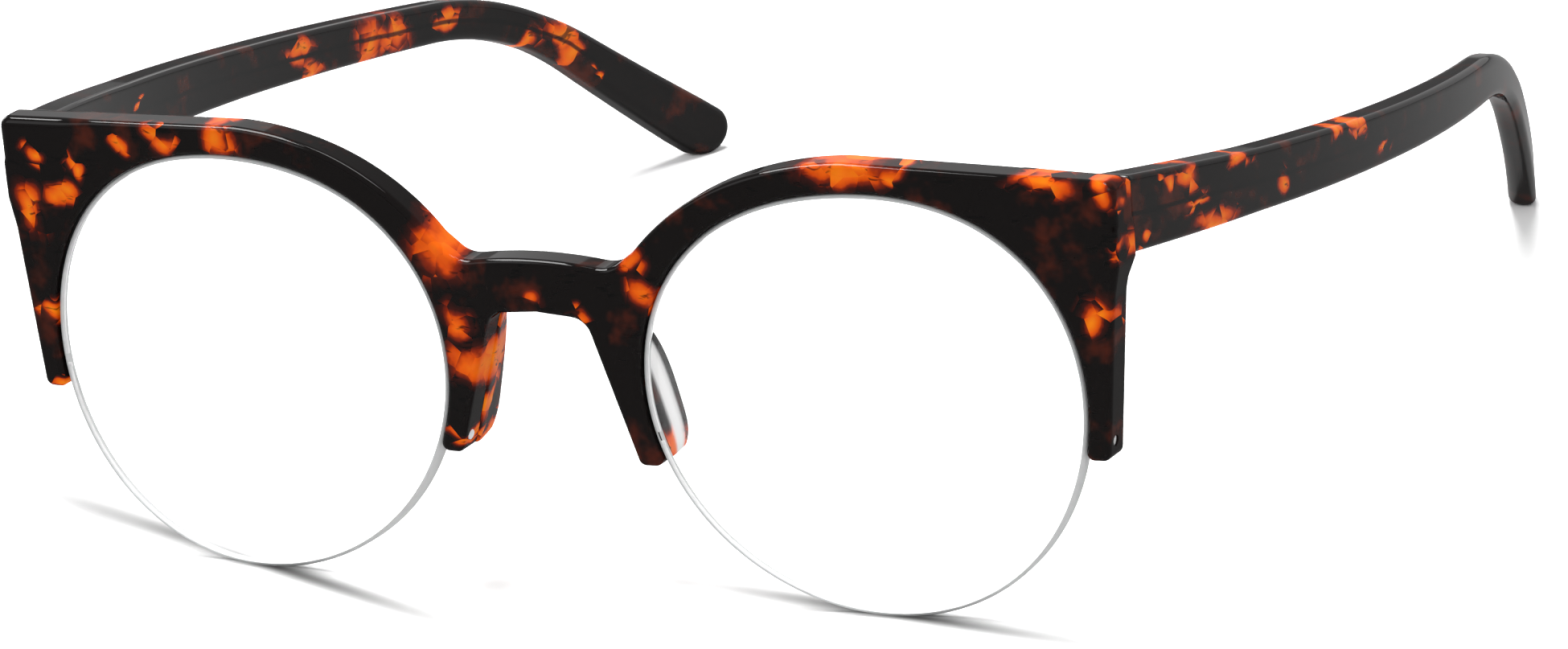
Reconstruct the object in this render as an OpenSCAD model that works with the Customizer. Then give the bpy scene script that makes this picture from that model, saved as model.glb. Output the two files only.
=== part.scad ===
// Half-rim browline glasses: a thick acetate front over two clear lenses that
// hang in nylon cords, with two bowed acetate temples on barrel hinges.
// Everything is drawn upright on the front and then set down on the table, so
// that the two lens bottoms and the two temple tips touch it.
// Left and right are the wearer's: the wearer's left is +X. The front faces -Y.

/* [Lenses] */
// Width of each lens at its widest
lens_w = 49.6; // [46:0.1:52]
// Height of each lens
lens_h = 46.1; // [43:0.1:49]
// How far the outline swells into its upper corners and its chin
lens_egg = 0.016; // [0:0.002:0.03]
// How far the outline leans towards the nose
lens_lean = 0.011; // [0:0.001:0.016]
// How far the outline is turned towards its upper inner corner
lens_turn = 0.007; // [0:0.001:0.01]
// How far the outline fills its four corners
lens_square = 0.006; // [0:0.001:0.01]
// Edge thickness of each lens
lens_t = 2.1; // [1.8:0.1:2.4]
// Radius of the curve that both lens faces follow
lens_curve = 265; // [180:5:400]
// Depth of the lens front edge behind the rim's front face
lens_inset = 0.5; // [0.4:0.1:0.8]
// Play between the lens edge and the rim
lens_play = 0.05; // [0.03:0.01:0.1]

/* [Front] */
// Width of acetate beyond the widest place of each lens, at the brow's outer corner
side_w = 4.585; // [3.5:0.005:7]
// Thickness of the acetate front
front_t = 3.8; // [3.6:0.1:4.4]
// Narrowest gap between the two lenses
bridge_gap = 23.3; // [22:0.1:25]
// Angle by which each half of the front sweeps back
wrap = 4.2; // [2:0.1:5]
// Half width of the curved part of the front at the bridge
bridge_bend = 6; // [5:0.5:7]
// Height of the brow's outer corners over the lens centres
brow_corner_z = 24.9; // [24:0.1:26]
// Height of acetate over the top of the lens
brow_band = 3.4; // [3:0.1:4]
// Extra band of acetate towards the bridge
brow_swell = 1.0; // [0.6:0.1:1.6]
// Height of the bridge's top edge over the lens centres
bridge_top = 14.4; // [13.5:0.1:15]
// Height of the bridge from its top edge to its arch
bridge_h = 6; // [5:0.1:6.5]
// Sideways place of the dip where the brow meets the bridge
dip_x = 8.6; // [8:0.1:9]
// Fall of the bridge's top edge from the middle to the dip
dip_fall = 1.0; // [0.6:0.1:1.2]
// Half width of the nose gap at the arch
arch_half_w = 5.7; // [5:0.1:6]
// Half width of the nose gap at the feet of the inner legs
foot_half_w = 10.6; // [9.8:0.1:11]
// Depth of the inner legs under the lens centres
inner_leg = 8.0; // [7:0.2:9]
// Depth of the outer legs under the lens centres
outer_leg = 5.2; // [4:0.2:6.5]
// Sideways draw of the outer legs from brow to foot
side_draw = 2.7; // [2.2:0.1:3.2]

/* [End pieces] */
// Depth of the hinge seam behind the plane of the lens centres
seam_y = 7.2; // [7:0.1:8]
// Length of the thick end block along the front
block_w = 11.2; // [11:0.2:13]
// Height of the end block's underside over the lens centres
block_z = 15.9; // [15.4:0.1:16.2]
// Rise of the slope under the end block
block_slope = 2.4; // [1:0.1:3]

/* [Nose pads] */
// How far each pad stands behind the front
pad_d = 6.4; // [5:0.2:7]
// Width of the pad where it is bonded to the leg
pad_base = 2.7; // [2.4:0.1:3]
// Thickness of the pad's rear edge
pad_edge = 1.2; // [1:0.1:1.6]
// Half width between the rear edges of the pads at the lens centres' height
pad_rear = 11.5; // [10.6:0.1:12]
// Splay of the rear edges from upright
pad_splay = 12.8; // [10:0.2:16]
// Height of the pad's deepest place over the lens centres
pad_deep_z = -3; // [-4:0.5:-1]
// Height of the pad's upper end over the lens centres
pad_top = 7.8; // [6:0.2:8]

/* [Temples] */
// Bow of each temple beyond the front's outer corner
bow_out_by = 5.4; // [4:0.1:7]
// Distance of the widest place behind the lens centres
bow_y = 58; // [52:1:60]
// Radius of each temple's sideways bow
bow_r = 215; // [190:5:230]
// Thickness of the temple at the widest place
temple_t = 3.65; // [3.4:0.05:3.9]
// How much the temple thins along the bow, as a shift of its inner curve
temple_thin = 1.2; // [0:0.1:1.4]
// Height of the temple's middle line over the lens centres, at the seam
temple_z = 20; // [19.8:0.1:20.2]
// Height of the temple at the seam
temple_h_front = 8.3; // [7.6:0.1:8.6]
// Height of the temple halfway along
temple_h_mid = 5.7; // [4.8:0.1:6]
// Height of the temple where it starts to bend over the ear
temple_h_bend = 4.8; // [4:0.1:5.2]
// Height of the temple across its tip
tip_h = 5.9; // [5.4:0.1:7]
// Downward slope of the temple from the front
temple_slope = 7.9; // [7:0.1:9]
// Straight length from the seam to the ear bend
straight_l = 92.8; // [86:0.2:98]
// Radius of the ear bend
ear_r = 50; // [40:1:60]
// Angle of the ear bend
ear_bend = 31; // [26:1:36]
// Length from the ear bend to the very tip
tail_l = 25.5; // [22:0.5:32]
// Angle by which the left temple is set inwards and the right one outwards
toe = 1.2; // [0:0.1:1.5]
// Running gap between the temple and the end block
seam_gap = 0.15; // [0.1:0.05:0.3]

/* [Hinges] */
// Distance of the hinge axis inside the temple's inner face
hinge_in = 1.3; // [1.2:0.05:1.5]
// Radius of the hinge barrels
barrel_r = 1.3; // [1.2:0.05:1.4]
// Height of one barrel
barrel_h = 1.1; // [1:0.05:1.2]
// Gap between neighbouring barrels
barrel_gap = 0.06; // [0.04:0.01:0.1]
// Number of barrels in a hinge
barrels = 5; // [5]
// Radius of the screw's shank
screw_r = 0.47; // [0.4:0.01:0.55]
// Radial play of the screw in the barrels
screw_play = 0.03; // [0.02:0.01:0.06]
// Radius of the screw's head
screw_head_r = 0.95; // [0.8:0.05:1.1]
// Height of the screw's head
screw_head_h = 0.5; // [0.4:0.05:0.6]
// Width of the slot in the screw's head
slot_w = 0.3; // [0.2:0.05:0.35]
// Thickness of the hinge leaves
leaf_t = 0.8; // [0.6:0.05:0.9]
// Length of the front hinge's leaf
front_leaf = 4.6; // [4:0.1:5]
// Length of the temple hinge's leaf
temple_leaf = 8; // [7:0.2:9]
// Height of the temple hinge's leaf
temple_leaf_h = 4.2; // [3.6:0.1:4.4]
// Radius of the studs that anchor the front leaf
stud_r = 0.55; // [0.4:0.05:0.6]
// Length of the studs
stud_l = 1.2; // [0.8:0.1:1.4]
// Clear space round the barrels
barrel_room = 0.25; // [0.2:0.05:0.35]
// Height of the core wire
wire_h = 2; // [1.6:0.1:2.4]
// Thickness of the core wire
wire_t = 1.1; // [0.9:0.1:1.3]
// Length of the core wire from the hinge
wire_l = 112; // [100:1:120]

/* [Cords and liners] */
// Radius of the nylon cord
cord_r = 0.25; // [0.2:0.01:0.28]
// Depth of the groove in the lens edge and in the rim
groove_d = 0.55; // [0.5:0.01:0.6]
// Width of the grooves
groove_w = 0.7; // [0.64:0.02:0.8]
// Play of the cord and the liner in their grooves
cord_play = 0.05; // [0.03:0.01:0.07]
// Distance of the cord holes over the feet of the legs
hole_up = 2.3; // [1.8:0.1:2.8]
// Radius of the melted head at each end of the cord
head_r = 0.55; // [0.45:0.05:0.6]
// Depth of the melted head
head_d = 0.4; // [0.3:0.05:0.5]

/* [Hidden] */

// Finishes
acetate = [0.16, 0.08, 0.05];
pad_brown = [0.45, 0.2, 0.07];
clear = [0.85, 0.92, 0.95, 0.35];
nylon = [0.85, 0.85, 0.82];
steel = [0.7, 0.7, 0.72];

// Lens outline: a circle with a second, a third and a fourth harmonic
lens_mean = (lens_w + lens_h) / 4 / (1 - lens_square);
lens_wide = (lens_w - lens_h) / lens_mean / 4;
outline_step = 3.75;
function lens_r(a, grow = 0) =
    lens_mean * (1 + lens_wide * cos(2 * a) - lens_turn * sin(2 * a) - lens_lean * cos(3 * a)
                 + lens_egg * sin(3 * a) - lens_square * cos(4 * a)) + grow;
function lens_pt(a, grow = 0) = lens_r(a, grow) * [cos(a), sin(a)];
function lens_arc(from, to, grow = 0) =
    let (n = ceil((to - from) / outline_step))
    [for (i = [0 : n]) lens_pt(from + (to - from) * i / n, grow)];
function lens_outline(grow = 0) = lens_arc(0, 360 - outline_step, grow);

lens_x = bridge_gap / 2 + lens_r(180);
front_w = 2 * lens_x + lens_w + 2 * side_w;
temple_span = front_w + 2 * bow_out_by;
lens_drop = -min([for (p = lens_outline()) p.y]);
lens_back = lens_inset + lens_t;
groove_y = lens_inset + lens_t / 2;

// Front face of the front in plan: two flat wings and an arc between them
plan_r = bridge_bend / sin(wrap);
plan_c = (bridge_bend - lens_x) * tan(wrap) + plan_r * cos(wrap);
plan_end = front_w / 2 + 1;
function plan_arc(r) = [for (i = [-6 : 6]) [r * sin(wrap * i / 6), plan_c - r * cos(wrap * i / 6)]];
function wing_y(x, depth) = (x - lens_x) * tan(wrap) + depth / cos(wrap);
front_y = plan_c - plan_r;

// A corner of an outline, rounded by an arc
function unit(v) = v / norm(v);
function corner(p, q, s, r, n = 6) =
    let (a = unit(p - q), b = unit(s - q), half = acos(a * b) / 2,
         c = q + unit(a + b) * r / sin(half),
         t0 = q + a * r / tan(half) - c, t1 = q + b * r / tan(half) - c,
         a0 = atan2(t0.y, t0.x), turn = (atan2(t1.y, t1.x) - a0 + 540) % 360 - 180)
    [for (i = [0 : n]) c + r * [cos(a0 + turn * i / n), sin(a0 + turn * i / n)]];

// Outer edge of the brow, as a band round the lens
crown_r = 44;
crown_up = 0.35;
brow_from = 150;
brow_to = 92;
function brow_pt(a) =
    [lens_x, 0] + lens_pt(a, brow_band + brow_swell * pow((a - 90) / (brow_from - 90), 3));

// Corners of the half outline, from the bridge's middle outwards and back under
bridge_mid = [0, bridge_top];
bridge_crown = [0, bridge_top + crown_up];
dip = [dip_x, bridge_top - dip_fall];
brow_corner = [front_w / 2, brow_corner_z];
side_break = [front_w / 2 - 0.06 * side_draw, block_z];
leg_top = [front_w / 2 - 0.33 * side_draw, block_z - 1.4 * block_slope];
outer_foot = [front_w / 2 - side_draw, -outer_leg];
outer_toe = [lens_x, -outer_leg];
inner_toe = [lens_x, -inner_leg];
inner_foot = [foot_half_w, -inner_leg];
arch_mid = [0, bridge_top - bridge_h];
arch_corner = [arch_half_w, arch_mid.y - 0.5];
half_outline = concat(
    [for (p = corner([-dip.x, dip.y], bridge_crown, dip, crown_r, 8)) if (p.x > -0.001) p],
    corner(bridge_crown, dip, brow_pt(brow_from), 4),
    [for (a = [brow_from : -4 : brow_to]) brow_pt(a)],
    corner(brow_pt(brow_to), brow_corner, side_break, 0.8),
    corner(brow_corner, side_break, leg_top, 4),
    corner(side_break, leg_top, outer_foot, 4),
    corner(leg_top, outer_foot, outer_toe, 0.8),
    [outer_toe, inner_toe],
    corner(inner_toe, inner_foot, arch_corner, 0.8),
    corner(inner_foot, arch_corner, arch_mid, 2.4),
    [arch_mid]);
front_top = lens_r(90, brow_band);

// Temple: middle line of its side view, from the seam backwards
ear_l = ear_r * ear_bend * PI / 180;
temple_l = straight_l + ear_l + tail_l;
tip_r = tip_h / 2;
temple_from = [seam_y + seam_gap, temple_z];
function line_turn(s) =
    -temple_slope - ear_bend * min(1, max(0, (s - straight_l) / ear_l));
function line_pt(s) =
    let (d = line_turn(0), start = [cos(d), sin(d)] * min(s, straight_l),
         e = line_turn(s),
         bend = ear_r * [sin(d) - sin(e), cos(e) - cos(d)],
         rest = max(0, s - straight_l - ear_l) * [cos(e), sin(e)])
    temple_from + start + bend + rest;
function line_h(s) = lookup(s, [
    [0, temple_h_front],
    [straight_l * 0.26, (temple_h_front * 0.4 + temple_h_mid * 0.6)],
    [straight_l * 0.6, temple_h_mid],
    [straight_l, temple_h_bend],
    [straight_l + ear_l * 0.7, temple_h_bend * 0.92],
    [temple_l - tip_r * 2, tip_h]]);
function side_at(s, h) = line_pt(s) + h * [-sin(line_turn(s)), cos(line_turn(s))];
line_steps = 36;
function side_edge(sense, height, from, to) =
    [for (i = [0 : line_steps]) let (s = from + (to - from) * i / line_steps)
        side_at(s, sense * (height > 0 ? height : line_h(s)) / 2)];
tip_c = line_pt(temple_l - tip_r);
tip_turn = line_turn(temple_l);
tip_arc = [for (a = [80 : -10 : -80]) tip_c + tip_r * [cos(tip_turn + a), sin(tip_turn + a)]];
wire_from = temple_leaf - 1;

// Temple in plan: an arc bowed outwards, thinned by an inner arc set forward
bow_x = temple_span / 2;
bow_c = [bow_x - bow_r, bow_y];
function bow_out(y) = bow_c.x + sqrt(pow(bow_r, 2) - pow(y - bow_y, 2));
function bow_in(y) = bow_c.x + sqrt(pow(bow_r - temple_t, 2) - pow(y - bow_y - temple_thin, 2));

// Hinge axis, and the cant of the temple's inner face beside it
hinge_x = bow_in(temple_from.x) - hinge_in;
hinge_y = seam_y + seam_gap / 2;
hinge_z = temple_z;
hinge_cant = asin((bow_y - hinge_y - temple_leaf / 2) / bow_r);
pitch = barrel_h + barrel_gap;
stack_h = barrels * pitch - barrel_gap;
stack_z = hinge_z - stack_h / 2;
bore_r = screw_r + screw_play;
leaf_x = hinge_in * cos(hinge_cant) - 0.25 * leaf_t;
arm_l = barrel_r + barrel_room;

// Setting down: the lens bottoms and the tips meet the table
stand_a = tip_c.y + lens_drop;
stand_b = tip_c.x - lens_back;
stand_angle = acos(tip_r / norm([stand_a, stand_b])) - atan2(stand_b, stand_a);
lift = lens_drop * cos(stand_angle) + lens_back * sin(stand_angle);
back_reach = tip_c.x * cos(stand_angle) + tip_c.y * sin(stand_angle) + tip_r;
front_reach = front_y * cos(stand_angle) + arch_mid.y * sin(stand_angle);
shift_y = -(back_reach + front_reach) / 2;
shift_x = (bow_y - hinge_y) * sin(toe);

// Cord holes: their angles on the lens outline
function angle_at(z, lo, hi, n = 24) =
    n == 0 ? (lo + hi) / 2
    : let (m = (lo + hi) / 2) lens_pt(m).y > z ? angle_at(z, m, hi, n - 1) : angle_at(z, lo, m, n - 1);
inner_hole = angle_at(hole_up - inner_leg, 150, 240);
outer_hole = 180 - angle_at_mirror(hole_up - outer_leg);
function angle_at_mirror(z, lo = 150, hi = 240, n = 24) =
    n == 0 ? (lo + hi) / 2
    : let (m = (lo + hi) / 2)
      lens_pt(180 - m).y > z ? angle_at_mirror(z, m, hi, n - 1) : angle_at_mirror(z, lo, m, n - 1);
hole_r = cord_r + cord_play;
hole_l = 9;
cord_sink = groove_d - cord_play - cord_r;
liner_stop = 3;

$fn = 48;

// Places the children on the table
module set_down() {
    translate([shift_x, shift_y, lift]) rotate([-stand_angle, 0, 0]) children();
}

// Draws on one side: the children are drawn for the wearer's left
module on_side(left) {
    mirror([left ? 0 : 1, 0, 0]) children();
}

// Turns a temple about its hinge, inwards on the left and outwards on the right
module toed(left) {
    translate([hinge_x, hinge_y, 0]) rotate([0, 0, left ? toe : -toe]) translate([-hinge_x, -hinge_y, 0]) children();
}

// Frame of one wing: X outwards from the lens centre, Y into the front, Z up
module on_wing() {
    translate([lens_x, 0, 0]) rotate([0, 0, wrap]) children();
}

// A slab between two depths, from an outline in X and Z
module slab(from, to) {
    translate([0, to, 0]) rotate([90, 0, 0]) linear_extrude(to - from) children();
}

// A ring round the lens between two growths, between two angles
module lens_band(in, out, from, to) {
    polygon(concat(lens_arc(from, to, out), [for (p = [lens_arc(from, to, in)], i = [len(p) - 1 : -1 : 0]) p[i]]));
}

module browline() {
    polygon(concat(half_outline,
        [for (i = [len(half_outline) - 1 : -1 : 0]) [-half_outline[i].x, half_outline[i].y]]));
}

// Plan of the front, as thick as the sheet
module front_plan() {
    outer = plan_arc(plan_r);
    inner = plan_arc(plan_r - front_t);
    polygon(concat(
        [[-plan_end, wing_y(plan_end, 0)]], outer, [[plan_end, wing_y(plan_end, 0)]],
        [[plan_end, wing_y(plan_end, front_t)]],
        [for (i = [len(inner) - 1 : -1 : 0]) inner[i]],
        [[-plan_end, wing_y(plan_end, front_t)]]));
}

// The thick block behind each outer corner, sloped above and underneath
block_top = temple_z + temple_h_front / 2;
module end_block() {
    back = wing_y(front_w / 2, front_t);
    low = [wing_y(front_w / 2 - block_w, 0) + 1, block_z - block_slope];
    translate([front_w / 2 - block_w, 0, 0]) rotate([90, 0, 90]) linear_extrude(block_w + 1)
        polygon([low, [back - 0.4, block_z - block_slope], [seam_y, block_z],
                 [seam_y, block_top], [back - 0.4, block_top + block_slope / 2],
                 [low.x, block_top + block_slope / 2]]);
}

// Drilling along the radius of the lens at an angle, from inside outwards
module along_radius(angle, grow = 0) {
    p = lens_pt(angle, grow);
    translate([p.x, groove_y, p.y]) rotate([0, 90 - angle, 0]) children();
}

// Room for the barrels, down the whole stack
module barrel_pocket() {
    translate([hinge_x, hinge_y, stack_z - barrel_room])
        cylinder(r = barrel_r + barrel_room, h = stack_h + screw_head_h + 2 * barrel_room);
}

module front_leaf_shape() {
    translate([hinge_x - front_leaf, seam_y - leaf_t, stack_z]) cube([front_leaf, leaf_t, stack_h]);
    for (k = [0.3, 0.7])
        translate([hinge_x - front_leaf * 0.62, seam_y - leaf_t / 2, stack_z + k * stack_h])
            rotate([90, 0, 0]) cylinder(r = stud_r, h = leaf_t / 2 + stud_l);
}

module half_cuts() {
    on_wing() {
        slab(-front_t, 2 * front_t) polygon(lens_outline(lens_play));
        slab(groove_y - groove_w / 2, groove_y + groove_w / 2) polygon(lens_outline(groove_d));
        for (a = [inner_hole, outer_hole]) {
            along_radius(a) cylinder(r = hole_r, h = hole_l);
            along_radius(a, leg_width(a) - head_d) cylinder(r = head_r + cord_play, h = hole_l);
        }
    }
    barrel_pocket();
    front_leaf_shape();
}

// Thickness of a leg across the cord hole, from the lens edge to its outside
function leg_width(a) =
    let (p = [lens_x, 0] + lens_pt(a), d = [cos(a), sin(a)],
         q = a > 90 ? inner_foot : outer_foot, t = a > 90 ? arch_corner : leg_top,
         e = t - q)
    ((q.x - p.x) * e.y - (q.y - p.y) * e.x) / (d.x * e.y - d.y * e.x);

module front_frame() {
    color(acetate) set_down() difference() {
        intersection() {
            slab(-4 * front_t, 4 * front_t) browline();
            union() {
                translate([0, 0, -inner_leg - 1]) linear_extrude(inner_leg + front_top + 3) front_plan();
                for (left = [true, false]) on_side(left) end_block();
            }
        }
        for (left = [true, false]) on_side(left) half_cuts();
    }
}

// Nose pad: a wing bonded to the back of the inner leg, lofted through
// level sections that run from the bond to a rounded rear edge
pad_rings = 12;
function pad_z(i) = -inner_leg + 0.25 + (pad_top + inner_leg - 0.25) * i / pad_rings;
function pad_depth(z) =
    let (t = (z - pad_deep_z) / (z > pad_deep_z ? pad_top - pad_deep_z + 0.5 : pad_deep_z + inner_leg + 1))
    pad_d * sqrt(1 - pow(abs(t), z > pad_deep_z ? 2.8 : 4));
function nose_edge(z) =
    (inner_foot.x + (arch_corner.x - inner_foot.x) * (z - inner_foot.y) / (arch_corner.y - inner_foot.y) - lens_x)
    / cos(wrap);
function pad_ring(i) =
    let (z = pad_z(i), d = pad_depth(z), n = nose_edge(z) + 0.3, e = pad_edge / 2,
         r = (pad_rear - z * tan(pad_splay) - lens_x) / cos(wrap) - 2 * e,
         f = n + (r - n) * min(1, d / pad_d), b = pad_base * (0.55 + 0.45 * d / pad_d))
    [[n, 0, z], [n + b, 0, z], [f + 2 * e + 0.15, d - 1.4 * e, z], [f + 1.8 * e, d - 0.5 * e, z],
     [f + 1.2 * e, d, z], [f + 0.5 * e, d - 0.2 * e, z], [f, d - e, z]];

// Skin of a stack of rings that all have the same number of points
module loft(rings) {
    n = len(rings[0]);
    m = len(rings);
    polyhedron([for (r = rings, p = r) p],
        concat([[for (k = [0 : n - 1]) k]],
               [for (i = [0 : m - 2], k = [0 : n - 1]) let (a = i * n + k, b = i * n + (k + 1) % n)
                   each [[a, a + n, b + n], [a, b + n, b]]],
               [[for (k = [n - 1 : -1 : 0]) (m - 1) * n + k]]));
}

module nose_pad(left) {
    color(pad_brown) set_down() on_side(left) on_wing() translate([0, front_t, 0])
        loft([for (i = [0 : pad_rings]) pad_ring(i)]);
}

// Lens: a curved blank cut to the outline, grooved round its edge
module lens(left) {
    rim = lens_mean + 3;
    sag = lens_curve - sqrt(pow(lens_curve, 2) - pow(lens_mean, 2));
    face = [for (i = [0 : 10]) let (r = rim * i / 10)
        [r, lens_inset - sag + lens_curve - sqrt(pow(lens_curve, 2) - pow(r, 2))]];
    color(clear) set_down() on_side(left) on_wing() difference() {
        intersection() {
            rotate([-90, 0, 0]) rotate_extrude($fn = 120)
                polygon(concat(face, [for (i = [10 : -1 : 0]) face[i] + [0, lens_t]]));
            slab(-front_t, 2 * front_t) polygon(lens_outline());
        }
        slab(groove_y - groove_w / 2, groove_y + groove_w / 2) difference() {
            polygon(lens_outline(2));
            polygon(lens_outline(-groove_d));
        }
    }
}

// Nylon liner: it fills the rim's groove over the lens and enters the lens groove
module rim_liner(left) {
    half_w = groove_w / 2 - cord_play;
    color(nylon) set_down() on_side(left) on_wing() slab(groove_y - half_w, groove_y + half_w)
        lens_band(cord_play - groove_d, groove_d - cord_play, outer_hole + liner_stop, inner_hole - liner_stop);
}

// Nylon cord: through the inner leg, round the lens groove and out through the outer leg
function path_dir(path, i) =
    unit((i < len(path) - 1 ? unit(path[i + 1] - path[i]) : [0, 0])
         + (i > 0 ? unit(path[i] - path[i - 1]) : [0, 0]));

module lens_cord(left) {
    path = lens_arc(inner_hole, outer_hole + 360, -cord_sink);
    end_r = cord_r + 0.02;
    color(nylon) set_down() on_side(left) on_wing() {
        translate([0, groove_y, 0]) loft([for (i = [0 : len(path) - 1])
            let (d = path_dir(path, i), n = [-d.y, d.x])
            [for (k = [0 : 7]) let (c = cord_r * cos(45 * k), s = -cord_r * sin(45 * k))
                [path[i].x + n.x * c, s, path[i].y + n.y * c]]]);
        for (a = [inner_hole, outer_hole]) {
            along_radius(a, -cord_sink - end_r) cylinder(r = end_r, h = leg_width(a) + cord_sink + end_r - head_d / 2);
            along_radius(a, leg_width(a) - head_d) cylinder(r = head_r, h = head_d);
        }
    }
}

// One barrel of the hinge, with its bore
module barrel(k) {
    translate([hinge_x, hinge_y, stack_z + k * pitch]) cylinder(r = barrel_r, h = barrel_h);
}

module hinge_bore() {
    translate([hinge_x, hinge_y, stack_z - 1]) cylinder(r = bore_r, h = stack_h + 2);
}

module front_hinge(left) {
    color(steel) set_down() on_side(left) difference() {
        union() {
            for (k = [0 : 2 : barrels - 1]) barrel(k);
            front_leaf_shape();
        }
        hinge_bore();
        for (k = [1 : 2 : barrels - 1])
            translate([hinge_x, hinge_y, stack_z + k * pitch - barrel_gap])
                cylinder(r = barrel_r + barrel_room, h = barrel_h + 2 * barrel_gap);
    }
}

// Leaf, arms and wire socket of the temple's half, canted along the temple
module temple_leaf_shape() {
    translate([hinge_x, hinge_y, hinge_z]) rotate([0, 0, -hinge_cant]) {
        translate([leaf_x, arm_l, -temple_leaf_h / 2 - 0.2]) cube([leaf_t, temple_leaf - arm_l, temple_leaf_h]);
        for (k = [1 : 2 : barrels - 1])
            translate([0.2, 0.5, stack_z + k * pitch - hinge_z]) cube([leaf_x + leaf_t - 0.2, arm_l, barrel_h]);
        translate([leaf_x, temple_leaf - 2, -wire_h / 2 - 1.6]) cube([temple_t * 0.75, 2, wire_h + 1]);
    }
}

module temple_hinge(left) {
    color(steel) set_down() on_side(left) difference() {
        union() {
            for (k = [1 : 2 : barrels - 1]) barrel(k);
            toed(left) temple_leaf_shape();
        }
        hinge_bore();
    }
}

module hinge_screw(left) {
    head_z = stack_z + stack_h;
    color(steel) set_down() on_side(left) translate([hinge_x, hinge_y, 0]) difference() {
        union() {
            translate([0, 0, stack_z]) cylinder(r = screw_r, h = stack_h + 0.01);
            translate([0, 0, head_z]) cylinder(r = screw_head_r, h = screw_head_h);
        }
        translate([-screw_head_r - 1, -slot_w / 2, head_z + screw_head_h * 0.5])
            cube([2 * screw_head_r + 2, slot_w, screw_head_h]);
    }
}

// Wall between two upright cylinders that follows the bow of the temple
module bowed_wall(out, in) {
    height = temple_z + lens_drop + 30;
    translate([0, 0, -lens_drop - 20]) difference() {
        translate(bow_c) cylinder(r = bow_r - out, h = height, $fn = 240);
        translate([bow_c.x, bow_c.y + temple_thin, -1]) cylinder(r = bow_r - in, h = height + 2, $fn = 240);
    }
}

// A side view pushed through the width of one temple
module side_prism() {
    translate([bow_x - 60, 0, 0]) rotate([90, 0, 90]) linear_extrude(70) children();
}

module core_shape() {
    mid = temple_t / 2;
    intersection() {
        bowed_wall(mid - wire_t / 2, mid + wire_t / 2);
        side_prism() polygon(concat(side_edge(1, wire_h, wire_from, wire_l),
            [for (e = [side_edge(-1, wire_h, wire_from, wire_l)], i = [line_steps : -1 : 0]) e[i]]));
    }
}

module temple(left) {
    color(acetate) set_down() on_side(left) difference() {
        toed(left) difference() {
            intersection() {
                bowed_wall(0, temple_t);
                side_prism() polygon(concat(
                    side_edge(1, 0, -1, temple_l - tip_r), tip_arc,
                    [for (e = [side_edge(-1, 0, -1, temple_l - tip_r)], i = [line_steps : -1 : 0]) e[i]]));
            }
            temple_leaf_shape();
            core_shape();
        }
        translate([0, -50 + temple_from.x, -10]) cube([bow_x + 20, 50, 70]);
        barrel_pocket();
    }
}

module core_wire(left) {
    color(steel) set_down() on_side(left) toed(left) difference() {
        core_shape();
        temple_leaf_shape();
    }
}

front_frame();
nose_pad(true);  // nose_pad_left
nose_pad(false);  // nose_pad_right
lens(true);  // lens_left
lens(false);  // lens_right
lens_cord(true);  // lens_cord_left
lens_cord(false);  // lens_cord_right
rim_liner(true);  // rim_liner_left
rim_liner(false);  // rim_liner_right
front_hinge(true);  // front_hinge_left
front_hinge(false);  // front_hinge_right
temple_hinge(true);  // temple_hinge_left
temple_hinge(false);  // temple_hinge_right
hinge_screw(true);  // hinge_screw_left
hinge_screw(false);  // hinge_screw_right
temple(true);  // temple_left
temple(false);  // temple_right
core_wire(true);  // core_wire_left
core_wire(false);  // core_wire_right
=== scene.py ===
# Half-rim browline glasses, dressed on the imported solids. Drawing is done in millimetres on the
# upright front, as the solids were drawn, and then set down on the table in metres.
# The wearer's left is +X, the front faces -Y and the temples run towards +Y.
import math

import bpy
import numpy as np
from mathutils import Matrix, Vector
from mathutils.geometry import delaunay_2d_cdt


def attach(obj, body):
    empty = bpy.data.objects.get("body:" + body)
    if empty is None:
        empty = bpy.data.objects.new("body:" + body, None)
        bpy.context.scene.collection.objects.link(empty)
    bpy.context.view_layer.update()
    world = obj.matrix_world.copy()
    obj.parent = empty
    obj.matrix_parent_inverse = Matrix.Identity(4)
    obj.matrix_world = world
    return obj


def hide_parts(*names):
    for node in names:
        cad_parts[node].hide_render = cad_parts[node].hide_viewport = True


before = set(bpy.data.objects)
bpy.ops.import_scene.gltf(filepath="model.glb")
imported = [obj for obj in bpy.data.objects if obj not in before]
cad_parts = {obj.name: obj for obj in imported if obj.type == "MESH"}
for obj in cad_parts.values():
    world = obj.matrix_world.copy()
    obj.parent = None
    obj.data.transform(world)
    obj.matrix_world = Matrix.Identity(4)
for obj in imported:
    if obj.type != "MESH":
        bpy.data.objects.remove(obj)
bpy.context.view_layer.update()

# Table, daylight box and camera. The glasses stand on a pale sheet in even studio light from all
# round, with three softboxes. Three more panels are seen only in the gloss of the acetate and give
# the light lines along its edges. The camera stands a good metre off to the wearer's left.
stand_angle = math.radians(1.23208)
stand_shift = np.array([1.0623, -70.7953, 23.5139])


def leaned(points):
    """Turned about X by the stand angle: y' = y cos a + z sin a, z' = z cos a - y sin a."""
    x, y, z = np.asarray(points, float).T
    c, s = math.cos(stand_angle), math.sin(stand_angle)
    return np.stack([x, y * c + z * s, z * c - y * s], -1)


def set_down(points):
    """Place on the table, in metres: leaned, then moved by the stand shift."""
    return (leaned(points) + stand_shift) / 1000


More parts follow.
